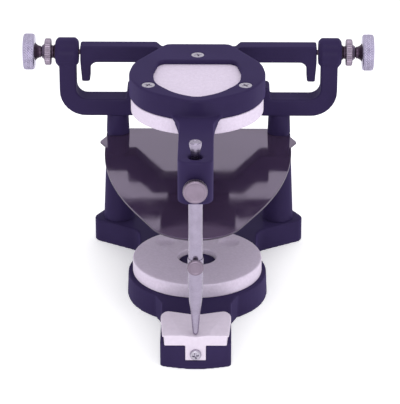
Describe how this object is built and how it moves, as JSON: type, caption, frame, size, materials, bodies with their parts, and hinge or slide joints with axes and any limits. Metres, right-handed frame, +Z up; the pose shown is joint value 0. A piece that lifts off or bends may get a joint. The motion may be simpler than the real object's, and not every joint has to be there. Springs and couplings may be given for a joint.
{
  "type": "dental articulator",
  "caption": "Dental articulator: cast base and yoke, hinged upper frame on pivot screws, two white mounting plates, incisal pin and table, dark occlusal plane plate.",
  "frame": {"origin": "on the bench plane under the common axis of the two mounting plates", "axes": "+X to the right as seen from the front, along the hinge axis; +Y to the rear, from the incisal pin towards the hinge; +Z up"},
  "size_m": [0.1662, 0.1568, 0.1093],
  "materials": {
    "frame_paint": "dark violet-blue stoving enamel over a casting, half gloss",
    "mounting_plate_white": "moulded white plastic, fine matt grain",
    "table_white": "white acetal, smooth",
    "pin_steel": "turned and polished steel",
    "knurled_steel": "knurled rim, satin nickel plate",
    "screw_steel": "oil-blackened steel",
    "bush_brass": "turned brass",
    "occlusal_smoke": "smoke-dark acrylic sheet, mirror gloss"
  },
  "bodies": {
    "base": {"base_casting": "frame_paint", "left_post": "frame_paint", "right_post": "frame_paint", "post_tie_bolts": "pin_steel", "yoke": "frame_paint", "lower_mounting_plate": "mounting_plate_white", "lower_plate_screws": "pin_steel", "incisal_table": "table_white", "incisal_table_screw": "pin_steel"},
    "plane_plate": {"occlusal_plate": "occlusal_smoke"},
    "upper": {"upper_frame": "frame_paint", "left_pivot_bush": "bush_brass", "right_pivot_bush": "bush_brass", "upper_mounting_plate": "mounting_plate_white", "upper_plate_screws": "pin_steel"},
    "pin": {"incisal_pin": "pin_steel", "pin_tip": "pin_steel"},
    "clamp_screw": {"pin_clamp_screw": "screw_steel"},
    "clamp_knob": {"pin_clamp_knob": "knurled_steel"},
    "tip_screw": {"tip_set_screw": "screw_steel"},
    "tip_knob": {"tip_set_knob": "knurled_steel"},
    "left_pivot": {"left_pivot_screw": "screw_steel"},
    "left_wheel": {"left_thumb_wheel": "knurled_steel"},
    "left_washer": {"left_lock_washer": "screw_steel"},
    "left_nut": {"left_lock_nut": "knurled_steel"},
    "right_pivot": {"right_pivot_screw": "screw_steel"},
    "right_wheel": {"right_thumb_wheel": "knurled_steel"},
    "right_washer": {"right_lock_washer": "screw_steel"},
    "right_nut": {"right_lock_nut": "knurled_steel"}
  },
  "joints": [
    {"name": "upper_hinge", "type": "hinge", "parent": "base", "child": "upper", "pos_m": [0, 0.059, 0.0975], "axis": [-1, 0, 0], "range_deg": [0, 180]},
    {"name": "plane_slide", "type": "slide", "parent": "base", "child": "plane_plate", "axis": [0, -1, 0], "range_m": [0, 0.009]},
    {"name": "pin_slide", "type": "slide", "parent": "upper", "child": "pin", "axis": [0, 0, 1], "range_m": [0, 0.012]},
    {"name": "left_pivot_slide", "type": "slide", "parent": "base", "child": "left_pivot", "axis": [-1, 0, 0], "range_m": [0, 0.0048]},
    {"name": "left_wheel_turn", "type": "hinge", "parent": "left_pivot", "child": "left_wheel", "pos_m": [-0.0803, 0.059, 0.0975], "axis": [-1, 0, 0], "range_deg": [0, 2160]},
    {"name": "left_washer_slide", "type": "slide", "parent": "base", "child": "left_washer", "axis": [-1, 0, 0], "range_m": [0, 0.0004]},
    {"name": "left_nut_turn", "type": "hinge", "parent": "left_washer", "child": "left_nut", "pos_m": [-0.072, 0.059, 0.0975], "axis": [-1, 0, 0], "range_deg": [0, 180]},
    {"name": "right_pivot_slide", "type": "slide", "parent": "base", "child": "right_pivot", "axis": [1, 0, 0], "range_m": [0, 0.0048]},
    {"name": "right_wheel_turn", "type": "hinge", "parent": "right_pivot", "child": "right_wheel", "pos_m": [0.0803, 0.059, 0.0975], "axis": [1, 0, 0], "range_deg": [0, 2160]},
    {"name": "right_washer_slide", "type": "slide", "parent": "base", "child": "right_washer", "axis": [1, 0, 0], "range_m": [0, 0.0004]},
    {"name": "right_nut_turn", "type": "hinge", "parent": "right_washer", "child": "right_nut", "pos_m": [0.072, 0.059, 0.0975], "axis": [1, 0, 0], "range_deg": [0, 180]},
    {"name": "clamp_slide", "type": "slide", "parent": "upper", "child": "clamp_screw", "axis": [0, -1, 0], "range_m": [0, 0.0007]},
    {"name": "clamp_turn", "type": "hinge", "parent": "clamp_screw", "child": "clamp_knob", "pos_m": [0, -0.084, 0.0895], "axis": [0, -1, 0], "range_deg": [0, 360]},
    {"name": "tip_set_slide", "type": "slide", "parent": "pin", "child": "tip_screw", "axis": [0, -1, 0], "range_m": [0, 0.00045]},
    {"name": "tip_set_turn", "type": "hinge", "parent": "tip_screw", "child": "tip_knob", "pos_m": [0, -0.079, 0.0511], "axis": [0, -1, 0], "range_deg": [0, 360]}
  ],
  "couplings": [
    {"joint": "left_pivot_slide", "follows": "left_wheel_turn", "m_per_rad": 0.00012732},
    {"joint": "left_nut_turn", "follows": "left_washer_slide", "rad_per_m": 7854},
    {"joint": "right_pivot_slide", "follows": "right_wheel_turn", "m_per_rad": 0.00012732},
    {"joint": "right_nut_turn", "follows": "right_washer_slide", "rad_per_m": 7854},
    {"joint": "clamp_turn", "follows": "clamp_slide", "rad_per_m": 8976},
    {"joint": "tip_set_turn", "follows": "tip_set_slide", "rad_per_m": 13963}
  ]
}
